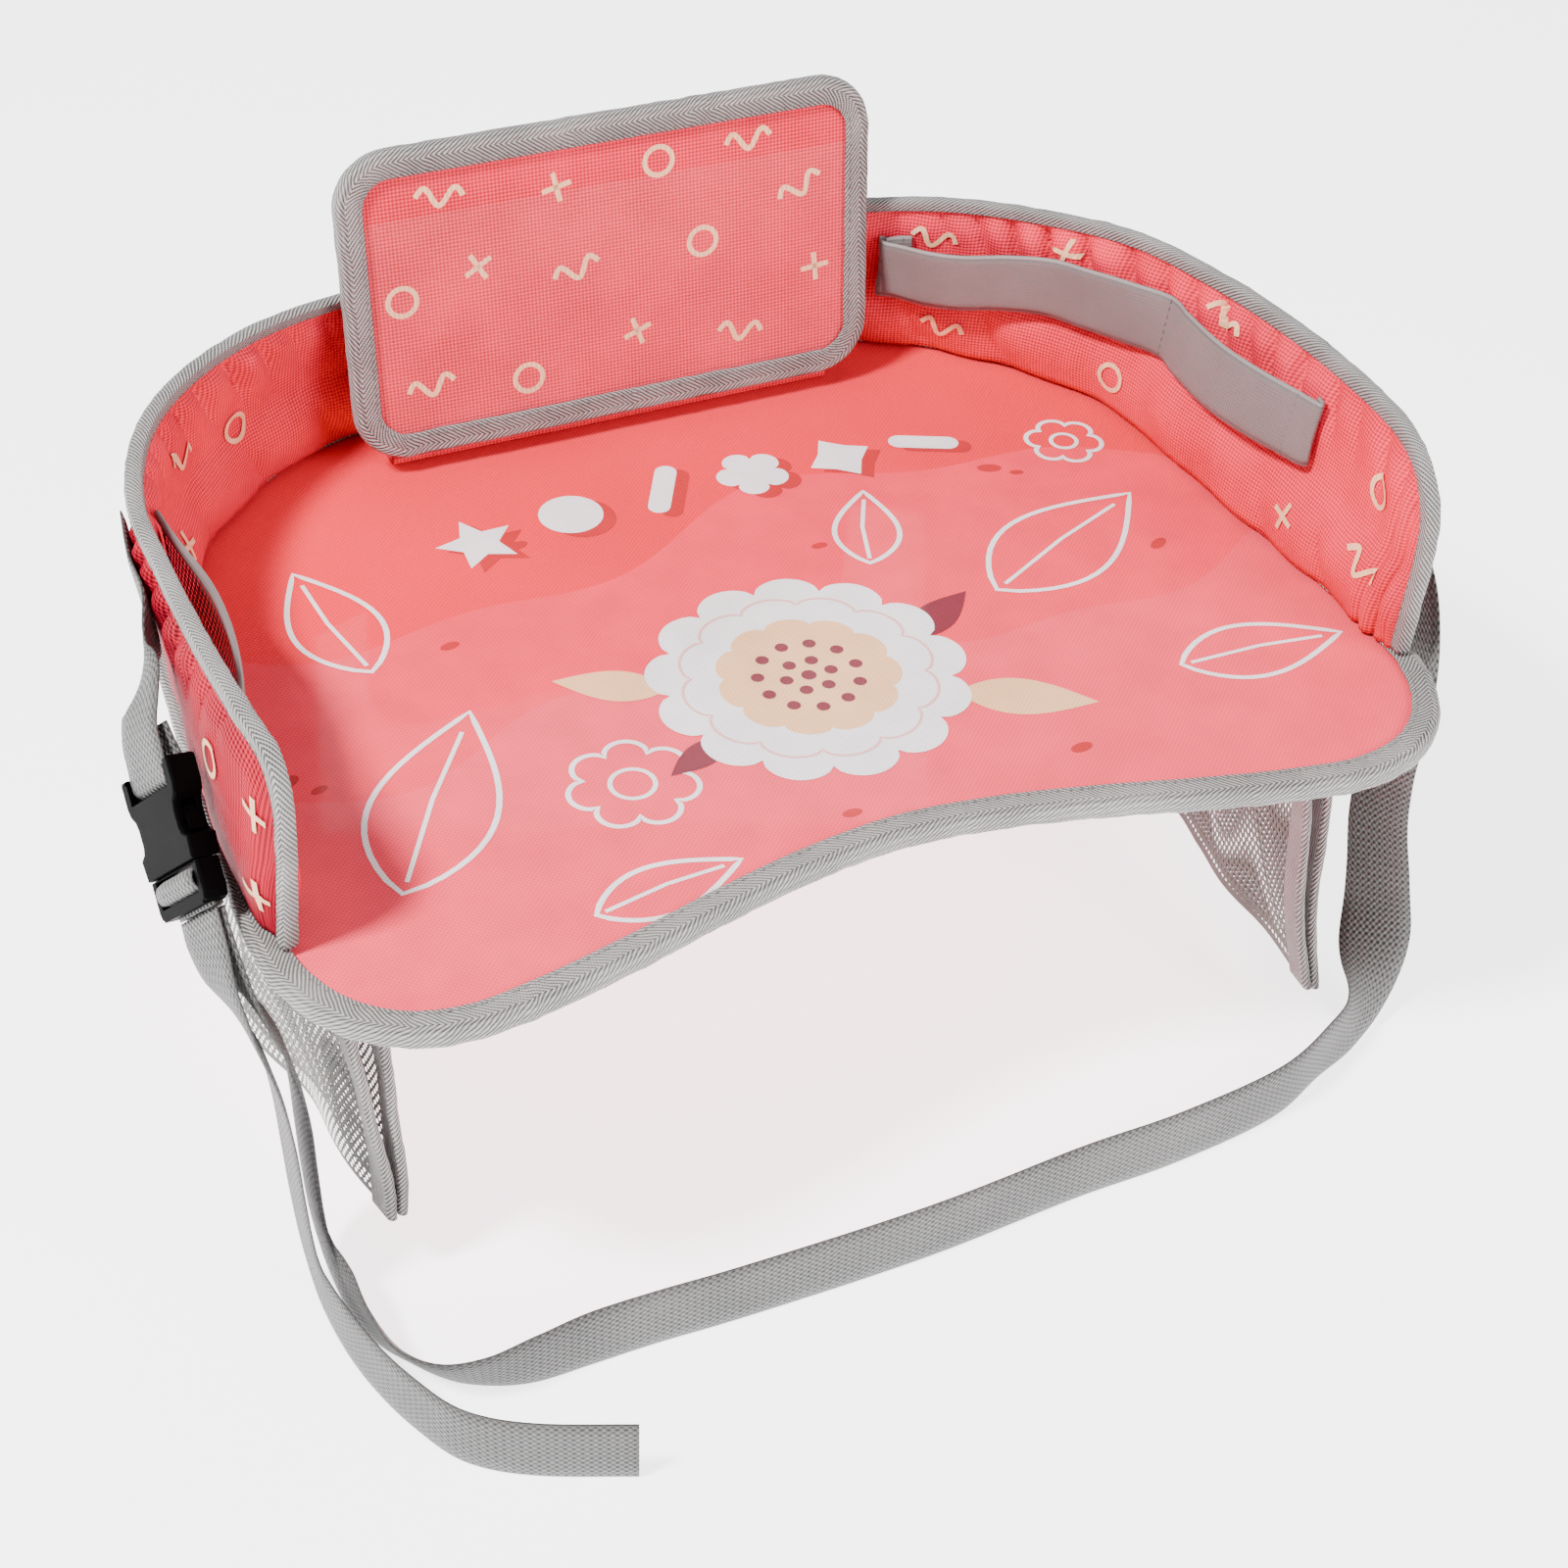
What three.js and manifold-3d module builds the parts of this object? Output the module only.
// Lap tray for a child's car seat: a padded floor and wall, a fold-down tablet panel,
// mesh pockets and a waist strap with a side-release buckle.
// Millimetres. X runs to the right, Y to the tablet side, Z up.
// The origin is the middle of the underside of the floor, which rests on the lap.
import * as THREE from 'three';
import { mergeVertices } from 'three/addons/utils/BufferGeometryUtils.js';
import Module from 'manifold-3d';

const wasm = await Module();
wasm.setup();

// Driving dimensions
const trayHalfWidth = 200;
const trayFront = 158;
const trayBack = 164;
const wallHeight = 71;
const leftWallInset = 8;
const fabricThickness = 0.6;
const boardThickness = 2.4;
const filmThickness = 0.4;
const foamThickness = 6;
const tapeThickness = 0.8;
const tapeWidth = 8.5;
const webbingWidth = 25;
const webbingThickness = 1.5;
const panelWidth = 198;
const panelHeight = 115;
const panelCornerRadius = 20;
const panelTilt = 5;
const pocketMouth = 12;
const pocketDrop = 118;
const buckleWidth = 34;
const buckleDepth = 9.4;
const buckleStandOff = 15;
const seatGap = 0.3;

const palette = {
  coralFabric: { color: 0xef5b63, roughness: 0.85 },
  printedFabric: { color: 0xf0666c, roughness: 0.8 },
  clearFilm: { color: 0xffffff, roughness: 0.12 },
  greyTape: { color: 0xa8a6a3, roughness: 0.8 },
  greyWebbing: { color: 0x8f8d8a, roughness: 0.8 },
  greyElastic: { color: 0x9b9794, roughness: 0.7 },
  greyNet: { color: 0xa9aaa2, roughness: 0.85 },
  boardPlastic: { color: 0xe9e6df, roughness: 0.6 },
  whiteFoam: { color: 0xf4f2ec, roughness: 0.9 },
  blackPlastic: { color: 0x1b1a1c, roughness: 0.42 },
};

const tray = new THREE.Group();
tray.name = 'kids_travel_tray';

function addPiece(name, geometry, finish, parent = tray) {
  const material = new THREE.MeshStandardMaterial({ ...palette[finish], metalness: 0 });
  const mesh = new THREE.Mesh(geometry, material);
  mesh.name = name;
  parent.add(mesh);
  return mesh;
}

function vec(x, y, z) {
  return new THREE.Vector3(x, y, z);
}

// Gives the enclosed volume, which is negative when the faces point inwards.
function signedVolume(position, index) {
  const a = vec();
  const b = vec();
  const c = vec();
  let sum = 0;
  for (let i = 0; i < index.length; i += 3) {
    a.fromBufferAttribute(position, index[i]);
    b.fromBufferAttribute(position, index[i + 1]);
    c.fromBufferAttribute(position, index[i + 2]);
    sum += a.dot(b.cross(c));
  }
  return sum;
}

function closedGeometry(points, triangles) {
  const geometry = new THREE.BufferGeometry().setFromPoints(points);
  const index = triangles.flat();
  if (signedVolume(geometry.getAttribute('position'), index) < 0) {
    index.reverse();
  }
  geometry.setIndex(index);
  return geometry;
}

// Joins equal rings of points into one skin. Open lofts get a cap at each end.
// Faces that look at each other across a gap are split along the same diagonal.
function loft(rings, section, isLoop) {
  const count = section.length;
  const triangles = [];
  const last = isLoop ? rings.length : rings.length - 1;
  for (let i = 0; i < last; i += 1) {
    const here = i * count;
    const next = ((i + 1) % rings.length) * count;
    for (let k = 0; k < count; k += 1) {
      const side = (k + 1) % count;
      const step = section[side].clone().sub(section[k]);
      if (step.x + step.y > 0) {
        triangles.push([here + k, here + side, next + side], [here + k, next + side, next + k]);
      } else {
        triangles.push([here + k, here + side, next + k], [here + side, next + side, next + k]);
      }
    }
  }
  if (!isLoop) {
    const caps = THREE.ShapeUtils.triangulateShape(section, []);
    const isClockwise = THREE.ShapeUtils.isClockWise(section);
    const end = (rings.length - 1) * count;
    for (const cap of caps) {
      const face = isClockwise ? cap : [...cap].reverse();
      triangles.push([face[0], face[1], face[2]]);
      triangles.push([end + face[2], end + face[1], end + face[0]]);
    }
  }
  return closedGeometry(rings.flat(), triangles);
}

function toManifold(geometry) {
  const plain = geometry.clone();
  plain.deleteAttribute('normal');
  plain.deleteAttribute('uv');
  const merged = mergeVertices(plain, 1e-4);
  const vertProperties = new Float32Array(merged.getAttribute('position').array);
  const triVerts = new Uint32Array(merged.getIndex().array);
  return new wasm.Manifold(new wasm.Mesh({ numProp: 3, vertProperties, triVerts }));
}

function fromManifold(solid) {
  const { numProp, vertProperties, triVerts } = solid.getMesh();
  const points = [];
  for (let i = 0; i < vertProperties.length; i += numProp) {
    points.push(vec(vertProperties[i], vertProperties[i + 1], vertProperties[i + 2]));
  }
  const geometry = new THREE.BufferGeometry().setFromPoints(points);
  geometry.setIndex([...triVerts]);
  return geometry;
}

// Floor outline, right half from the middle of the belly cut to the middle of the back.
const floorOutlineShares = [
  [0, -0.816], [0.15, -0.835], [0.31, -0.88], [0.475, -0.937], [0.625, -0.981],
  [0.75, -1], [0.855, -0.968], [0.935, -0.886], [0.985, -0.76], [1, -0.614],
  [0.995, -0.411], [0.982, -0.158], [0.97, 0.091], [0.95, 0.305], [0.9, 0.5],
  [0.8, 0.683], [0.66, 0.841], [0.49, 0.939], [0.275, 0.988], [0, 1],
];
const floorStations = 60;

function mirrored(points) {
  const left = points.slice(1, -1).reverse().map((p) => vec(-p.x, p.y, p.z));
  return [...points, ...left];
}

function floorOutline() {
  const half = floorOutlineShares.map(([shareX, shareY]) => {
    const reach = shareY < 0 ? trayFront : trayBack;
    return vec(shareX * trayHalfWidth, shareY * reach, 0);
  });
  const curve = new THREE.CatmullRomCurve3(mirrored(half), true, 'centripetal');
  return curve.getSpacedPoints(floorStations).slice(0, floorStations);
}

// Outward directions in plan at each point of a closed outline drawn counter-clockwise.
function outlineNormals(points) {
  return points.map((p, i) => {
    const before = points[(i + points.length - 1) % points.length];
    const after = points[(i + 1) % points.length];
    const along = after.clone().sub(before).normalize();
    return vec(along.y, -along.x, 0);
  });
}

function insetOutline(points, inset) {
  const normals = outlineNormals(points);
  return points.map((p, i) => p.clone().addScaledVector(normals[i], -inset));
}

function plate(outline, low, high) {
  const shape = new THREE.Shape(outline.map((p) => new THREE.Vector2(p.x, p.y)));
  const geometry = new THREE.ExtrudeGeometry(shape, { depth: high - low, bevelEnabled: false });
  geometry.translate(0, 0, low);
  return geometry;
}

// A plate whose lower face has a ring of its own inside the outline.
function ringedPlate(outline, inner, bottom, top) {
  const count = outline.length;
  const flat = (points) => points.map((p) => new THREE.Vector2(p.x, p.y));
  const points = [inner, outline].flatMap((ring) => ring.map((p) => vec(p.x, p.y, bottom)));
  points.push(...outline.map((p) => vec(p.x, p.y, top)));
  const triangles = THREE.ShapeUtils.triangulateShape(flat(inner), []).map(([a, b, c]) => [a, c, b]);
  for (const [a, b, c] of THREE.ShapeUtils.triangulateShape(flat(outline), [])) {
    triangles.push([2 * count + a, 2 * count + b, 2 * count + c]);
  }
  for (let k = 0; k < count; k += 1) {
    const next = (k + 1) % count;
    for (const low of [k, count + k]) {
      const lowNext = low - k + next;
      triangles.push([low, lowNext, lowNext + count], [low, lowNext + count, low + count]);
    }
  }
  return closedGeometry(points, triangles);
}

// Section of a tape folded over an edge: out is measured from the edge, up from the lower face.
function tapeSection(stackHeight, cover, gap = seatGap) {
  const outer = gap + tapeThickness;
  const chamfer = tapeThickness;
  return [
    [-cover, -outer], [outer - chamfer, -outer], [outer, chamfer - outer],
    [outer, stackHeight + outer - chamfer], [outer - chamfer, stackHeight + outer],
    [-cover, stackHeight + outer], [-cover, stackHeight + gap],
    [gap, stackHeight + gap], [gap, -gap], [-cover, -gap],
  ].map(([out, up]) => new THREE.Vector2(out, up));
}

const outline = floorOutline();
const floorEdge = insetOutline(outline, seatGap + tapeThickness);
const boardLow = fabricThickness + seatGap;
const boardHigh = boardLow + boardThickness;
const printLow = boardHigh + seatGap;
const printHigh = printLow + fabricThickness;
const filmLow = printHigh + seatGap;
const floorTop = filmLow + filmThickness;

function buildFloor() {
  const boardInset = 2;
  const lapFaceInset = 36;
  const lapFace = insetOutline(floorEdge, lapFaceInset);
  addPiece('base_bottom_fabric', ringedPlate(floorEdge, lapFace, 0, fabricThickness), 'coralFabric');
  addPiece('base_board', plate(insetOutline(floorEdge, boardInset), boardLow, boardHigh), 'boardPlastic');
  addPiece('base_top_fabric', plate(floorEdge, printLow, printHigh), 'printedFabric');
  addPiece('base_clear_film', plate(floorEdge, filmLow, floorTop), 'clearFilm');
  const section = tapeSection(floorTop, tapeWidth);
  const normals = outlineNormals(outline);
  const rings = floorEdge.map((p, i) => section.map(({ x, y }) => {
    return p.clone().addScaledVector(normals[i], x).setZ(y);
  }));
  addPiece('base_edge_binding', loft(rings, section, true), 'greyTape');
}

// Wall, right half from its front end to the middle of the back.
// Each row holds the foot's x and y, the top edge's x and y, and the top edge's height.
const wallShares = [
  [0.9425, -0.676, 0.942, -0.685, 0.02], [0.9427, -0.67, 0.941, -0.693, 0.25],
  [0.943, -0.66, 0.94, -0.702, 0.56], [0.9437, -0.638, 0.9405, -0.69, 0.8],
  [0.945, -0.596, 0.943, -0.645, 0.945], [0.9475, -0.49, 0.9705, -0.519, 1],
  [0.9375, -0.3, 0.984, -0.316, 1], [0.914, -0.063, 0.9715, -0.063, 1],
  [0.895, 0.183, 0.936, 0.159, 1], [0.87, 0.396, 0.88, 0.378, 0.985],
  [0.79, 0.591, 0.78, 0.548, 0.955], [0.66, 0.756, 0.64, 0.695, 0.93],
  [0.5, 0.872, 0.485, 0.782, 0.9], [0.25, 0.915, 0.24, 0.808, 0.885],
  [0, 0.921, 0, 0.808, 0.87],
];
const leftInsetShares = [0.3, 0.39, 0.51, 0.6, 0.6, 0.9, 0.95, 0.5, -0.3, -0.35, -0.6, -0.5, -0.1, 0, 0];
const leftFootInsetShares = [0.28, 0.28, 0.28, 0.28, 0.2, 0.1];
const wallStepsPerRow = 2;
const wallBulge = 2;
const wallEndRows = 4;
const wallTapeGap = 0.7;
const wallTapeCover = 4.5;
const wallEdgeThickness = 2.6;
const wallEdgeFlat = 5;
const wallEdgeSlope = 9;
const wallFoot = floorTop + seatGap + tapeThickness + seatGap;
const wallRows = wallShares.length - 1;
const foamInner = fabricThickness + seatGap;
const foamOuter = foamInner + foamThickness;
const wallThickness = foamOuter + seatGap + fabricThickness;

function reachOf(share) {
  return share * (share < 0 ? trayFront : trayBack);
}

function wallCurves() {
  const foot = [];
  const top = [];
  for (let k = -wallRows; k <= wallRows; k += 1) {
    const row = wallRows - Math.abs(k);
    const side = k <= 0 ? 1 : -1;
    const [footX, footY, topX, topY, rise] = wallShares[row];
    const inset = side < 0 ? leftInsetShares[row] * leftWallInset : 0;
    const footInset = side < 0 ? (leftFootInsetShares[row] ?? 0) * leftWallInset : 0;
    foot.push(vec(side * (footX * trayHalfWidth - footInset), reachOf(footY), wallFoot));
    top.push(vec(side * (topX * trayHalfWidth - inset), reachOf(topY), wallFoot + rise * wallHeight));
  }
  return {
    foot: new THREE.CatmullRomCurve3(foot, false, 'centripetal'),
    top: new THREE.CatmullRomCurve3(top, false, 'centripetal'),
  };
}

const wallLines = wallCurves();

// A station counts rows from the right front end: 0 to wallRows on the right, then on to the left.
function wallFrame(station) {
  const t = station / (2 * wallRows);
  const foot = wallLines.foot.getPoint(t);
  const top = wallLines.top.getPoint(t);
  const along = wallLines.foot.getTangent(t);
  const out = vec(along.y, -along.x, 0).normalize();
  return { foot, top, out, footAlong: along, topAlong: wallLines.top.getTangent(t) };
}

function wallBulgeAt(station, rise) {
  return wallBulge * (1 - Math.abs(2 * rise - 1)) * (wallFrame(station).top.z - wallFoot) / wallHeight;
}

// A point of the wall: rise runs from 0 at the foot to 1 at the top, out from the inner face.
function wallPoint(station, rise, out) {
  const frame = wallFrame(station);
  return frame.foot.lerp(frame.top, rise).addScaledVector(frame.out, out + wallBulgeAt(station, rise));
}

function wallUp(station) {
  const frame = wallFrame(station);
  return frame.top.sub(frame.foot).normalize();
}

// The direction in the wall's face that points away from the wall across its free edge.
function wallEdgeDirection(station) {
  const whole = THREE.MathUtils.clamp(station, wallEndRows, 2 * wallRows - wallEndRows);
  const upper = wallPoint(whole, 1, 0).sub(wallPoint(whole, 0.5, 0));
  const frame = wallFrame(station);
  const endShare = Math.min(1, Math.abs(station - whole));
  const along = frame.topAlong.clone().lerp(frame.footAlong, endShare);
  const face = along.cross(upper);
  return face.cross(frame.topAlong).normalize();
}

// The padding is pinched to a thin edge along the wall's free edge, evenly from both faces.
const wallPinch = (wallThickness - wallEdgeThickness) / 2;
const wallEdgeSamples = wallLines.top.getPoints(40 * wallRows);

function wallSkinPoint(station, rise, out) {
  const point = wallPoint(station, rise, out);
  const middle = wallPoint(station, rise, wallThickness / 2);
  const edge = wallFrame(station).out.multiplyScalar(wallThickness / 2);
  const distances = wallEdgeSamples.map((sample) => sample.clone().add(edge).distanceTo(middle));
  const fullShare = THREE.MathUtils.clamp((Math.min(...distances) - wallEdgeFlat) / wallEdgeSlope, 0, 1);
  const pinch = (out < wallThickness / 2 ? wallPinch : -wallPinch) - wallBulgeAt(station, rise);
  return point.addScaledVector(wallFrame(station).out, pinch * (1 - fullShare));
}

function wallLayer(inner, outer) {
  const rings = [];
  for (let i = 0; i <= 2 * wallRows * wallStepsPerRow; i += 1) {
    const station = i / wallStepsPerRow;
    const frame = wallFrame(station);
    const length = frame.top.distanceTo(frame.foot);
    const full = Math.max(1 - (wallEdgeFlat + wallEdgeSlope) / length, 0.4);
    const rises = [0, full / 2, full, Math.max(1 - wallEdgeFlat / length, 0.7), 1];
    rings.push([
      ...rises.map((rise) => wallSkinPoint(station, rise, inner)),
      ...rises.reverse().map((rise) => wallSkinPoint(station, rise, outer)),
    ]);
  }
  const section = rings[0].map((_, k) => (k < 5 ? [0, k] : [1, 9 - k]));
  return loft(rings, section.map(([x, y]) => new THREE.Vector2(x, y)), false);
}

function buildWall() {
  addPiece('wall_inner_fabric', wallLayer(0, fabricThickness), 'coralFabric');
  addPiece('wall_foam_core', wallLayer(foamInner, foamOuter), 'whiteFoam');
  addPiece('wall_outer_fabric', wallLayer(wallThickness - fabricThickness, wallThickness), 'coralFabric');
  const section = tapeSection(wallEdgeThickness, wallTapeCover, wallTapeGap);
  const rings = [];
  for (let i = 0; i <= 2 * wallRows * wallStepsPerRow; i += 1) {
    const frame = wallFrame(i / wallStepsPerRow);
    const away = wallEdgeDirection(i / wallStepsPerRow);
    rings.push(section.map(({ x, y }) => {
      return frame.top.clone().addScaledVector(away, x).addScaledVector(frame.out, wallPinch + y);
    }));
  }
  addPiece('wall_top_binding', loft(rings, section, false), 'greyTape');
}

// Tablet panel: it stands on its lower edge in front of the back wall and folds forwards.
const panelStiffener = 1.6;
const panelBoardInset = 1;
const panelFootClearance = 2.5;
const panelFilmSetback = 25;
const panelCornerSteps = 5;
const panelY = 116.5;
const panelBoardLow = fabricThickness + seatGap;
const panelPrintLow = panelBoardLow + panelStiffener + seatGap;
const panelFilmLow = panelPrintLow + fabricThickness + seatGap;
const panelStack = panelFilmLow + filmThickness;
const panelHalfStack = panelStack / 2 + seatGap + tapeThickness;
const hingeHeight = floorTop + seatGap + tapeThickness + panelHalfStack;

// The panel's outline. A setback cuts it straight across, that far under the panel's top.
function panelOutline(inset, setback = 0) {
  const left = -panelWidth / 2 + inset;
  const right = panelWidth / 2 - inset;
  const low = panelFootClearance + inset;
  const top = panelFootClearance + panelHeight;
  const high = top - inset;
  const radius = panelCornerRadius - inset;
  const points = [];
  const corners = [
    [right - radius, low + radius, -0.5], [right - radius, high - radius, 0],
    [left + radius, high - radius, 0.5], [left + radius, low + radius, 1],
  ];
  for (const [x, y, start] of corners) {
    if (setback > 0 && y > low + radius) {
      points.push(vec(x < 0 ? left : right, top - setback, 0));
      continue;
    }
    for (let k = 0; k <= panelCornerSteps; k += 1) {
      const angle = (start + 0.5 * k / panelCornerSteps) * Math.PI;
      points.push(vec(x + radius * Math.cos(angle), y + radius * Math.sin(angle), 0));
    }
  }
  return points;
}

function buildTabletPanel() {
  const panel = new THREE.Group();
  panel.position.set(0, panelY, hingeHeight);
  panel.rotation.x = THREE.MathUtils.degToRad(90 - panelTilt);
  tray.add(panel);
  const edge = seatGap + tapeThickness;
  const back = -panelStack / 2;
  const layer = (name, outline, low, thickness, finish) => {
    addPiece(name, plate(outline, back + low, back + low + thickness), finish, panel);
  };
  const cloth = panelOutline(edge);
  const board = panelOutline(edge + panelBoardInset);
  const film = panelOutline(edge, panelFilmSetback);
  layer('tablet_back_fabric', cloth, 0, fabricThickness, 'coralFabric');
  layer('tablet_stiffener', board, panelBoardLow, panelStiffener, 'boardPlastic');
  layer('tablet_front_fabric', cloth, panelPrintLow, fabricThickness, 'coralFabric');
  layer('tablet_clear_window', film, panelFilmLow, filmThickness, 'clearFilm');
  const section = tapeSection(panelStack, tapeWidth);
  const points = panelOutline(edge);
  const normals = outlineNormals(points);
  const rings = points.map((p, i) => section.map(({ x, y }) => {
    return p.clone().addScaledVector(normals[i], x).setZ(back + y);
  }));
  addPiece('tablet_binding', loft(rings, section, true), 'greyTape', panel);
}

// Fabric flap that ties the panel's foot to the floor.
const flapWidth = 170;
const flapFloorDepth = 12;

function buildTabletFlap() {
  const low = floorTop + seatGap;
  const near = panelHalfStack + 2 * seatGap;
  const high = hingeHeight;
  const profile = [
    [near, low], [near + flapFloorDepth, low], [near + flapFloorDepth, low + fabricThickness],
    [near + fabricThickness, low + fabricThickness], [near + fabricThickness, high], [near, high],
  ].map(([y, z]) => new THREE.Vector2(y, z));
  const rings = [-flapWidth / 2, flapWidth / 2].map((x) => profile.map((p) => vec(x, panelY + p.x, p.y)));
  addPiece('tablet_hinge_flap', loft(rings, profile, false), 'coralFabric');
}

// Ribbon of webbing, tape or elastic through a list of places with the direction of its width.
function ribbonSection(width, thickness) {
  const chamfer = thickness / 3;
  const x = width / 2;
  const y = thickness / 2;
  return [
    [-x, chamfer - y], [chamfer - x, -y], [x - chamfer, -y], [x, chamfer - y],
    [x, y - chamfer], [x - chamfer, y], [chamfer - x, y], [-x, y - chamfer],
  ].map(([across, through]) => new THREE.Vector2(across, through));
}

function ribbon(places, widths, width, thickness, steps) {
  const path = new THREE.CatmullRomCurve3(places, false, 'centripetal');
  const across = new THREE.CatmullRomCurve3(widths, false, 'catmullrom', 0.5);
  const section = ribbonSection(width, thickness);
  const rings = [];
  for (let i = 0; i <= steps; i += 1) {
    const t = i / steps;
    const centre = path.getPoint(t);
    const along = path.getTangent(t);
    const side = across.getPoint(t);
    side.addScaledVector(along, -side.dot(along)).normalize();
    const face = along.clone().cross(side);
    rings.push(section.map(({ x, y }) => {
      return centre.clone().addScaledVector(side, x).addScaledVector(face, y);
    }));
  }
  return loft(rings, section, false);
}

// Pen elastic on the right wall: sewn at both ends and once between, standing off in two loops.
// Each row of the loops holds a station of the wall and a share of the loops' depth.
const penElasticThickness = 1.2;
const penElasticWidth = 25;
const penSeat = 2;
const penLoopDepth = 13;
const penRiseShares = [0.605, 0.66];
const penLoopShares = [
  [11.6, 0.15], [11.4, 0.52], [11.05, 0.95], [10.7, 1], [10.25, 0.62], [9.8, 0.35], [9.3, 0.42],
  [8.8, 0.29], [8.35, 0], [8, 0.29], [7.4, 0.625], [6.9, 0.58], [6.45, 0.29], [6.2, 0],
];

function buildPenElastic() {
  const first = penLoopShares[0][0];
  const span = penLoopShares[penLoopShares.length - 1][0] - first;
  const places = penLoopShares.map(([station, standOff]) => {
    const rise = THREE.MathUtils.lerp(penRiseShares[0], penRiseShares[1], (station - first) / span);
    return wallPoint(station, rise, -penSeat - standOff * penLoopDepth);
  });
  const widths = penLoopShares.map(([station]) => wallUp(station));
  const steps = 3 * (penLoopShares.length - 1);
  addPiece('pen_elastic', ribbon(places, widths, penElasticWidth, penElasticThickness, steps), 'greyElastic');
}

// Net with rows of holes over a patch: place(a, b) gives a point, face(a, b) its normal.
function net(place, face, columns, rows, thickness, strandShare) {
  const points = [];
  const triangles = [];
  const half = thickness / 2;
  const add = (a, b) => {
    const centre = place(a, b);
    const normal = face(a, b);
    points.push(centre.clone().addScaledVector(normal, half));
    points.push(centre.clone().addScaledVector(normal, -half));
    return points.length - 2;
  };
  const grid = [];
  for (let j = 0; j <= rows; j += 1) {
    grid.push([]);
    for (let i = 0; i <= columns; i += 1) {
      grid[j].push(add(i / columns, j / rows));
    }
  }
  const quad = (p, q, r, s) => triangles.push([p, q, r], [p, r, s]);
  for (let j = 0; j < rows; j += 1) {
    for (let i = 0; i < columns; i += 1) {
      const outer = [grid[j][i], grid[j][i + 1], grid[j + 1][i + 1], grid[j + 1][i]];
      const near = strandShare / 2;
      const far = 1 - strandShare / 2;
      const hole = [[near, near], [far, near], [far, far], [near, far]].map(([a, b]) => {
        return add((i + a) / columns, (j + b) / rows);
      });
      for (let k = 0; k < 4; k += 1) {
        const next = (k + 1) % 4;
        quad(outer[k], outer[next], hole[next], hole[k]);
        quad(outer[k] + 1, hole[k] + 1, hole[next] + 1, outer[next] + 1);
        quad(hole[k], hole[next], hole[next] + 1, hole[k] + 1);
      }
    }
  }
  const border = [];
  for (let i = 0; i < columns; i += 1) border.push(grid[0][i]);
  for (let j = 0; j < rows; j += 1) border.push(grid[j][columns]);
  for (let i = columns; i > 0; i -= 1) border.push(grid[rows][i]);
  for (let j = rows; j > 0; j -= 1) border.push(grid[j][0]);
  border.forEach((here, k) => {
    const next = border[(k + 1) % border.length];
    quad(here, here + 1, next + 1, next);
  });
  return closedGeometry(points, triangles);
}

const netThickness = 1;
const netStrandShare = 0.42;

// Net pocket inside the left wall, with an elastic along its mouth.
const innerPocketStations = [19.7, 22.6];
const innerPocketRiseShares = [0.1, 0.76];
const innerPocketSlack = 9;
const innerPocketSeat = netThickness + seatGap;
const innerPocketColumns = 12;
const innerPocketRows = 5;
const innerElasticWidth = 6;
const innerElasticThickness = 1.6;

function innerPocketPlace(a, b) {
  const station = THREE.MathUtils.lerp(innerPocketStations[0], innerPocketStations[1], a);
  const rise = THREE.MathUtils.lerp(innerPocketRiseShares[0], innerPocketRiseShares[1], b);
  const slack = innerPocketSlack * Math.sin(Math.PI * a) * Math.sin(0.5 * Math.PI * b);
  return wallPoint(station, rise, -innerPocketSeat - slack);
}

function buildInnerPocket() {
  const face = (a) => {
    return wallFrame(THREE.MathUtils.lerp(innerPocketStations[0], innerPocketStations[1], a)).out;
  };
  const mesh = net(innerPocketPlace, face, innerPocketColumns, innerPocketRows, netThickness, netStrandShare);
  addPiece('inner_pocket_mesh', mesh, 'greyNet');
  const places = [];
  const widths = [];
  const lift = innerElasticWidth / 2 + seatGap;
  for (let k = 0; k <= innerPocketColumns; k += 2) {
    const a = k / innerPocketColumns;
    const up = wallUp(THREE.MathUtils.lerp(innerPocketStations[0], innerPocketStations[1], a));
    places.push(innerPocketPlace(a, 1).addScaledVector(up, lift));
    widths.push(up);
  }
  const elastic = ribbon(places, widths, innerElasticWidth, innerElasticThickness, 2 * innerPocketColumns);
  addPiece('inner_pocket_elastic', elastic, 'greyElastic');
}

// Side pockets: two nets under each side of the floor, open at the front.
// Corners of the outer net, in shares of the tray's half width, its reach and the pocket's drop:
// front top, rear top, front foot, rear foot.
const rightPocketShares = [[0.89, -0.582, 0], [0.9675, 0.012, 0], [0.8375, -0.829, -1], [0.855, -0.171, -1]];
const leftPocketShares = [
  [0.89, -0.734, 0], [0.9675, 0.012, 0], [0.8425, -0.74, -0.932], [0.95, -0.082, -0.898],
];
const pocketRearMouth = 9;
const pocketFootMouth = 3.4;
const pocketColumns = 8;
const pocketNetRows = 7;
const pocketBindingWidth = 10;
const pocketBindingShares = [0, 0.5, 1];

function pocketPlace(side, shares, isInner) {
  const mouths = [pocketMouth, pocketRearMouth, pocketFootMouth, pocketFootMouth];
  const high = isInner ? -seatGap : -2 * seatGap - tapeThickness;
  const corners = shares.map(([x, y, z], i) => {
    const across = x * trayHalfWidth - (isInner ? mouths[i] : 0);
    return vec(side * across, reachOf(y), high + z * pocketDrop);
  });
  return (a, b) => {
    const top = corners[0].clone().lerp(corners[1], a);
    return corners[2].clone().lerp(corners[3], a).lerp(top, b);
  };
}

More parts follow.
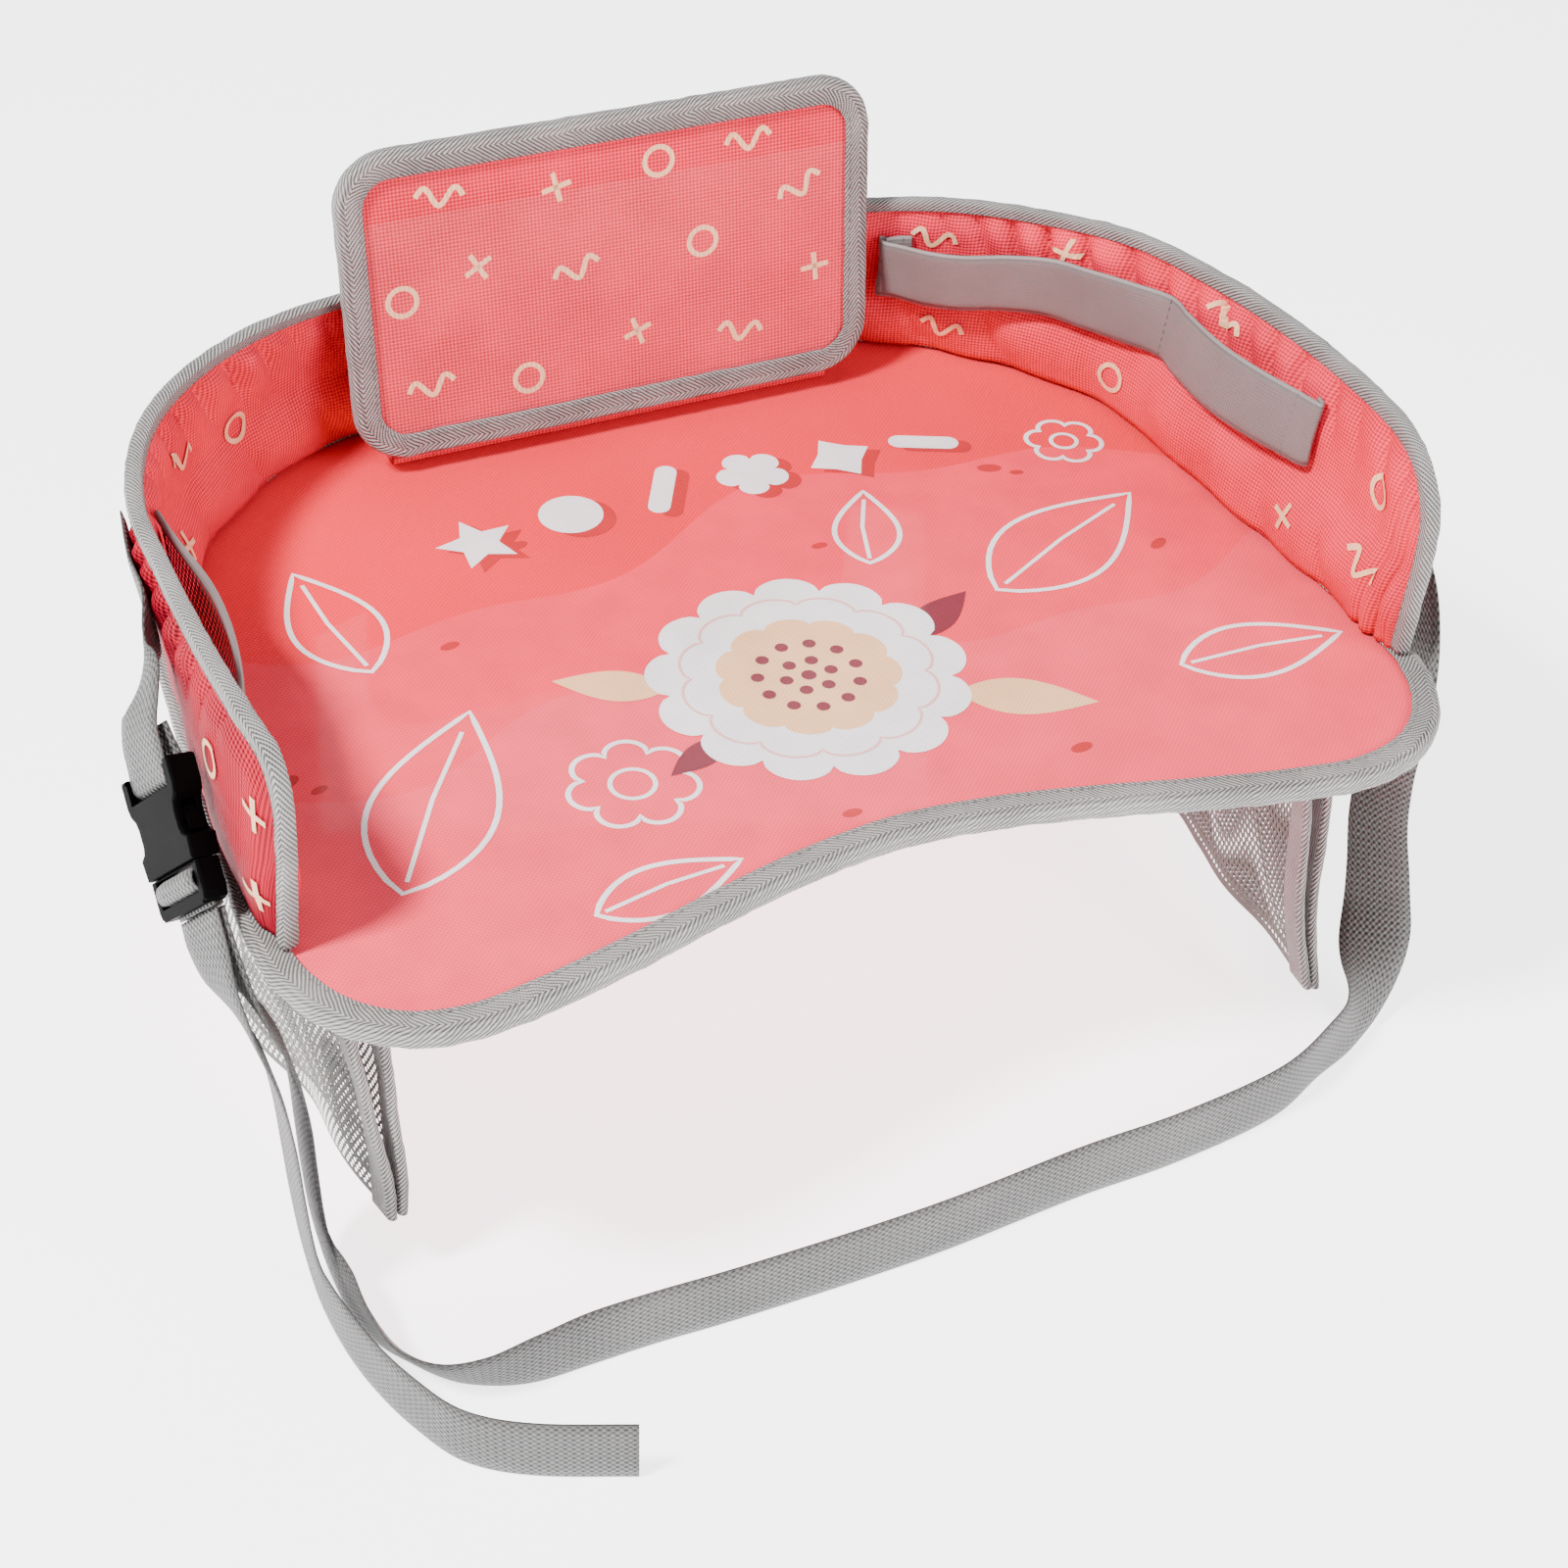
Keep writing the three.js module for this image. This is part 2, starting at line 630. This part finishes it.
function buildSidePocket(name, side, shares) {
  for (const layer of ['outer', 'inner']) {
    const place = pocketPlace(side, shares, layer === 'inner');
    const face = () => vec(1, 0, 0);
    const mesh = net(place, face, pocketColumns, pocketNetRows, netThickness, netStrandShare);
    addPiece(`${name}_pocket_${layer}_mesh`, mesh, 'greyNet');
    const section = tapeSection(netThickness, pocketBindingWidth);
    const rings = pocketBindingShares.map((b) => {
      const back = place(1 / pocketColumns, b).sub(place(0, b)).normalize();
      return section.map(({ x, y }) => {
        return place(0, b).addScaledVector(back, -x).add(vec(y - netThickness / 2, 0, 0));
      });
    });
    addPiece(`${name}_pocket_${layer}_binding`, loft(rings, section, false), 'greyTape');
  }
}

// Buckle, in its own frame: X across, Y from the anchor's bar towards the plug, Z towards the wall.
// The Z of zero is the outer face of the socket, and the Y of zero the middle of its bar.
const buckleAngle = 41;
const buckleRoll = 19;
const buckleBarX = -trayHalfWidth - buckleStandOff;
const buckleBarY = -52.4;
const buckleBarZ = 34.1;
const shoulderReach = 3;
const socketLength = 28;
const plugLength = 13;
const shellWall = 2;
const bevel = 0.8;
const barHalfLength = 1.4;
const barLow = 3;
const barHigh = 6.2;
const slotLow = 1.9;
const slotHigh = 5.2;
const slotWidth = webbingWidth + 1;
const cavityStart = 8;
const windowStart = 10;
const windowEnd = 20.5;
const waistInset = 3.6;
const armInner = 9;
const armOuter = 12;
const headOuter = 15.6;
const headStart = 11.5;
const headEnd = 19.5;
const tongueWidth = 6;
const plugBarStart = 25.5;
const plugBarEnd = 29;
const plugMiddleBarStart = 31.6;
const plugMiddleBarEnd = 34.9;
const plugEndBarStart = 37.5;
const plugBarDepth = 3.9;
const plugMiddleBarLow = 1.5;
const cheekInner = 13;
const overrun = 5;

function buckleFrame() {
  const angle = THREE.MathUtils.degToRad(buckleAngle);
  const roll = THREE.MathUtils.degToRad(buckleRoll);
  const along = vec(0, -Math.cos(angle), -Math.sin(angle));
  const flatAcross = vec(0, -Math.sin(angle), Math.cos(angle));
  const across = flatAcross.clone().multiplyScalar(Math.cos(roll)).setX(Math.sin(roll));
  const through = across.clone().cross(along);
  const basis = new THREE.Matrix4().makeBasis(across, along, through);
  return basis.setPosition(buckleBarX, buckleBarY, buckleBarZ);
}

const buckleBasis = buckleFrame();

function buckleSpot(across, along, through) {
  return vec(across, along, through).applyMatrix4(buckleBasis);
}

function buckleDirection(across, along, through) {
  return vec(across, along, through).transformDirection(buckleBasis);
}

function block(x, y, z) {
  const size = [x[1] - x[0], y[1] - y[0], z[1] - z[0]];
  return wasm.Manifold.cube(size).translate([x[0], y[0], z[0]]);
}

// A plate with rounded edges: the outline's points are in X and Y, given for the positive side.
function roundedPlate(half, low, high) {
  const shape = new THREE.Shape();
  const points = [...half, ...half.map(([x, y]) => [-x, y]).reverse()];
  points.forEach(([x, y], i) => (i === 0 ? shape.moveTo(x, y) : shape.lineTo(x, y)));
  const depth = high - low - 2 * bevel;
  const options = {
    depth, bevelThickness: bevel, bevelSize: bevel, bevelOffset: -bevel, bevelSegments: 2,
  };
  const geometry = new THREE.ExtrudeGeometry(shape, options);
  geometry.translate(0, 0, low + bevel);
  return toManifold(geometry);
}

function addBucklePiece(name, solid) {
  const piece = addPiece(name, fromManifold(solid), 'blackPlastic');
  piece.applyMatrix4(buckleBasis);
}

function buildSocket() {
  const half = buckleWidth / 2;
  const shoulder = half - shoulderReach;
  const waist = half - waistInset;
  const waistMiddle = (windowStart + windowEnd) / 2;
  const outline = [
    [shoulder, -shoulderReach], [half - bevel, -shoulderReach], [half, bevel - shoulderReach],
    [half, slotHigh], [half - bevel, cavityStart], [waist + bevel, windowStart],
    [waist, (windowStart + waistMiddle) / 2], [waist, (windowEnd + waistMiddle) / 2],
    [waist + bevel, windowEnd - bevel], [half, windowEnd + bevel], [half - bevel, socketLength],
  ];
  const inner = [shellWall, buckleDepth - shellWall];
  const solid = roundedPlate(outline, 0, buckleDepth)
    .subtract(block([-shoulder, shoulder], [-overrun, -barHalfLength], [-overrun, buckleDepth + overrun]))
    .subtract(block([-slotWidth / 2, slotWidth / 2], [slotLow, slotHigh], [-overrun, buckleDepth + overrun]))
    .subtract(block([-slotWidth / 2, slotWidth / 2], [-overrun, slotHigh], [-overrun, barLow]))
    .subtract(block([-slotWidth / 2, slotWidth / 2], [-overrun, slotHigh], [barHigh, buckleDepth + overrun]))
    .subtract(block([-cheekInner - bevel, cheekInner + bevel], [cavityStart, socketLength + overrun], inner))
    .subtract(block([armInner, half + overrun], [windowStart, windowEnd], inner))
    .subtract(block([-half - overrun, -armInner], [windowStart, windowEnd], inner));
  addBucklePiece('buckle_socket', solid);
}

function buildPlug() {
  const half = buckleWidth / 2 - bevel;
  const start = socketLength + seatGap;
  const end = socketLength + plugLength;
  const depth = [bevel, buckleDepth - bevel];
  const cheekLow = depth[0];
  const outline = [
    [half, start], [half, end - shoulderReach], [half - bevel, end - bevel], [half - shoulderReach, end],
  ];
  const inside = [shellWall + seatGap, buckleDepth - shellWall - seatGap];
  const neck = cheekInner + bevel - seatGap;
  const slotHalf = slotWidth / 2;
  const solid = roundedPlate(outline, depth[0], depth[1])
    .subtract(block([-slotHalf, slotHalf], [plugBarEnd, end + overrun], [-overrun, buckleDepth + overrun]))
    .add(block([-neck, neck], [plugBarStart, plugBarEnd], inside))
    .add(block([-tongueWidth / 2, tongueWidth / 2], [headStart, plugBarStart + bevel], [barLow, barHigh]))
    .add(block([-cheekInner - bevel, cheekInner + bevel], [plugMiddleBarStart, plugMiddleBarEnd],
      [plugMiddleBarLow, plugBarDepth]))
    .add(block([-cheekInner - bevel, cheekInner + bevel], [plugEndBarStart, end], [cheekLow, plugBarDepth]));
  addBucklePiece('buckle_plug', solid);
}

function buildProng(name, side) {
  const root = plugBarStart - seatGap;
  const profile = [
    [armInner, root], [armOuter, root], [armOuter, headEnd + bevel], [headOuter, headEnd],
    [headOuter, headEnd - shoulderReach], [armOuter, headStart], [armInner, headStart],
  ];
  const shape = new THREE.Shape(profile.map(([x, y]) => new THREE.Vector2(side * x, y)));
  const low = shellWall + 2 * seatGap;
  const depth = buckleDepth - 2 * low;
  const geometry = new THREE.ExtrudeGeometry(shape, { depth, bevelEnabled: false });
  geometry.translate(0, 0, low);
  addBucklePiece(name, toManifold(geometry));
}

// Webbing through the plug: round the middle bar on the outer face, both ends leaving behind the end bar.
// Each row holds the way along the buckle and the way through it, as shares of the webbing's width.
const loopRouteShares = [
  [1.68, 0.3], [1.52, 0.3], [1.36, 0.296], [1.272, 0.264], [1.224, 0.2], [1.208, 0.12], [1.228, 0.036],
  [1.328, 0], [1.428, 0.032], [1.452, 0.112], [1.464, 0.18], [1.528, 0.212], [1.68, 0.208],
];

function buckleRoute(shares) {
  return shares.map(([along, through]) => buckleSpot(0, along * webbingWidth, through * webbingWidth));
}

function buildPlugLoop() {
  const places = buckleRoute(loopRouteShares);
  const widths = places.map(() => buckleDirection(1, 0, 0));
  const steps = 3 * (places.length - 1);
  const loop = ribbon(places, widths, webbingWidth, webbingThickness, steps);
  addPiece('strap_plug_loop', loop, 'greyWebbing');
}

// Anchor webbings, sewn to the outside of the wall.
const anchorSeat = wallThickness + 3 * seatGap + webbingThickness;
const anchorRiseShare = 0.7;
const leftSewn = [19.8, 20.4, 21];
const leftHangShares = [[-1.0275, -0.1392, 0.7042]];
const barRouteShares = [
  [-0.96, 0.224], [-0.56, 0.092], [-0.24, 0.072], [-0.04, 0.064], [0.064, 0.076], [0.132, 0.128],
  [0.148, 0.184], [0.132, 0.248], [0.056, 0.304], [-0.08, 0.308], [-0.32, 0.256], [-0.56, 0.216],
];
const rightSewn = [8.2, 7.6, 7];
const rightHangShares = [[1.03, -0.1266, 0.6761], [1.0415, -0.2152, 0.5944]];

function sewnPlaces(stations) {
  return stations.map((station) => wallPoint(station, anchorRiseShare, anchorSeat));
}

function hangPlaces(shares) {
  return shares.map(([x, y, z]) => vec(x * trayHalfWidth, reachOf(y), z * wallHeight));
}

function buildLeftAnchor() {
  const places = [...sewnPlaces(leftSewn), ...hangPlaces(leftHangShares), ...buckleRoute(barRouteShares)];
  const atBar = buckleDirection(1, 0, 0);
  const widths = places.map((_, i) => {
    if (i < leftSewn.length) {
      return wallUp(leftSewn[i]);
    }
    return i < leftSewn.length + leftHangShares.length ? wallUp(leftSewn[0]).lerp(atBar, 0.5) : atBar;
  });
  const anchor = ribbon(places, widths, webbingWidth, webbingThickness, 3 * (places.length - 1));
  addPiece('left_anchor_webbing', anchor, 'greyWebbing');
}

// Straps: one flat webbing, X, Y and Z of its middle line, then the direction of its width.
const strapRoute = [
  [208.4, -34.4, 41.9, 0, 0.5, -0.87], [209.6, -52, 35, 0, 0.45, -0.89], [210.6, -70, 28, 0, 0.5, -0.87],
  [210, -88, 15.5, 0, 0.62, -0.78], [207, -99, 0, 0, 0.8, -0.6], [203, -104, -20, -0.1, 0.95, -0.2],
  [199.5, -106, -45, -0.15, 0.98, 0], [198, -109, -68, -0.3, 0.95, 0], [198, -115, -88, -0.42, 0.88, -0.1],
  [197, -121, -107, -0.55, 0.75, 0.2], [189, -132, -121, -0.55, 0.45, 0.7],
  [176, -144, -127, -0.2, 0.1, 0.97], [158, -153, -127.5, 0, 0, 1], [135, -163, -127.5, 0, 0, 1],
  [91, -169, -127.5, 0, 0, 1],
  [53, -170, -127.5, 0, 0, 1], [-5, -174, -127.5, 0, 0, 1], [-75, -174, -127.5, 0, 0, 1],
  [-101, -173, -127.5, 0, 0, 1], [-124, -173, -127.5, 0, 0, 1], [-142, -174, -127.6, 0, -0.1, 0.99],
  [-157, -172.5, -128.2, -0.15, -0.3, 0.94], [-168.5, -167.5, -129, -0.3, -0.35, 0.88],
  [-177.5, -157.5, -129, -0.4, -0.25, 0.88], [-183.5, -144, -128, -0.2, -0.1, 0.97],
  [-186.5, -129, -127, 0, 0, 1], [-188.5, -115, -124.5, 0, -0.3, 0.95],
  [-189.5, -106, -116.5, 0, -0.75, 0.66], [-189.8, -102, -104, 0, -0.97, 0.22],
  [-190, -100.5, -85, 0, -1, 0], [-190.5, -100, -62, 0, -1, 0], [-193.5, -100.5, -40, 0, -1, 0],
  [-199.5, -99.5, -23, 0.05, -0.98, 0.2], [-205, -95.5, -11, 0.2, -0.82, 0.54],
  [-207.8, -89.7, -1.6, 0.32, -0.64, 0.7], [-207.91, -82.94, 4.31, 0.326, -0.62, 0.714],
];
const tailRoute = [
  [-210.08, -83.45, 4.88, 0.326, -0.62, 0.714], [-210.1, -90.2, -1, 0.32, -0.64, 0.7],
  [-209, -97.5, -12, 0.2, -0.82, 0.54], [-204.5, -102, -25, 0.05, -0.98, 0.2],
  [-199.5, -104.5, -43, 0, -1, 0], [-197, -105.5, -65, 0, -1, 0], [-196.2, -107, -88, 0, -1, 0],
  [-195.8, -109.5, -105, 0, -0.97, 0.22], [-195.4, -115, -118, 0, -0.75, 0.66],
  [-194.6, -125, -125.5, 0, -0.3, 0.95], [-192, -142, -127.5, 0, 0, 1], [-187, -162, -127.5, 0, 0, 1],
  [-181, -177, -127.5, 0, 0, 1], [-174, -190, -127.5, 0, 0, 1], [-166, -198, -127.5, 0, 0, 1],
  [-153, -206, -127.5, 0, 0, 1], [-125, -218, -127.5, 0, 0, 1],
];

function buildRightAnchor() {
  const places = [...sewnPlaces(rightSewn), ...hangPlaces(rightHangShares)];
  const hanging = vec(0, strapRoute[0][4], strapRoute[0][5]);
  const widths = places.map((_, i) => (i < rightSewn.length ? wallUp(rightSewn[i]).negate() : hanging));
  const anchor = ribbon(places, widths, webbingWidth, webbingThickness, 3 * (places.length - 1));
  addPiece('right_anchor_webbing', anchor, 'greyWebbing');
}

function buildStrap(name, route) {
  const places = route.map(([x, y, z]) => vec(x, y, z));
  const widths = route.map((row) => vec(...row.slice(3)));
  const strap = ribbon(places, widths, webbingWidth, webbingThickness, 2 * (route.length - 1));
  addPiece(name, strap, 'greyWebbing');
}

buildFloor();
buildWall();
buildTabletPanel();
buildTabletFlap();
buildPenElastic();
buildInnerPocket();
buildSidePocket('right', 1, rightPocketShares);
buildSidePocket('left', -1, leftPocketShares);
buildSocket();
buildPlug();
buildProng('buckle_prong_upper', 1);
buildProng('buckle_prong_lower', -1);
buildPlugLoop();
buildLeftAnchor();
buildRightAnchor();
buildStrap('strap_loop', strapRoute);
buildStrap('strap_tail', tailRoute);

export default tray;
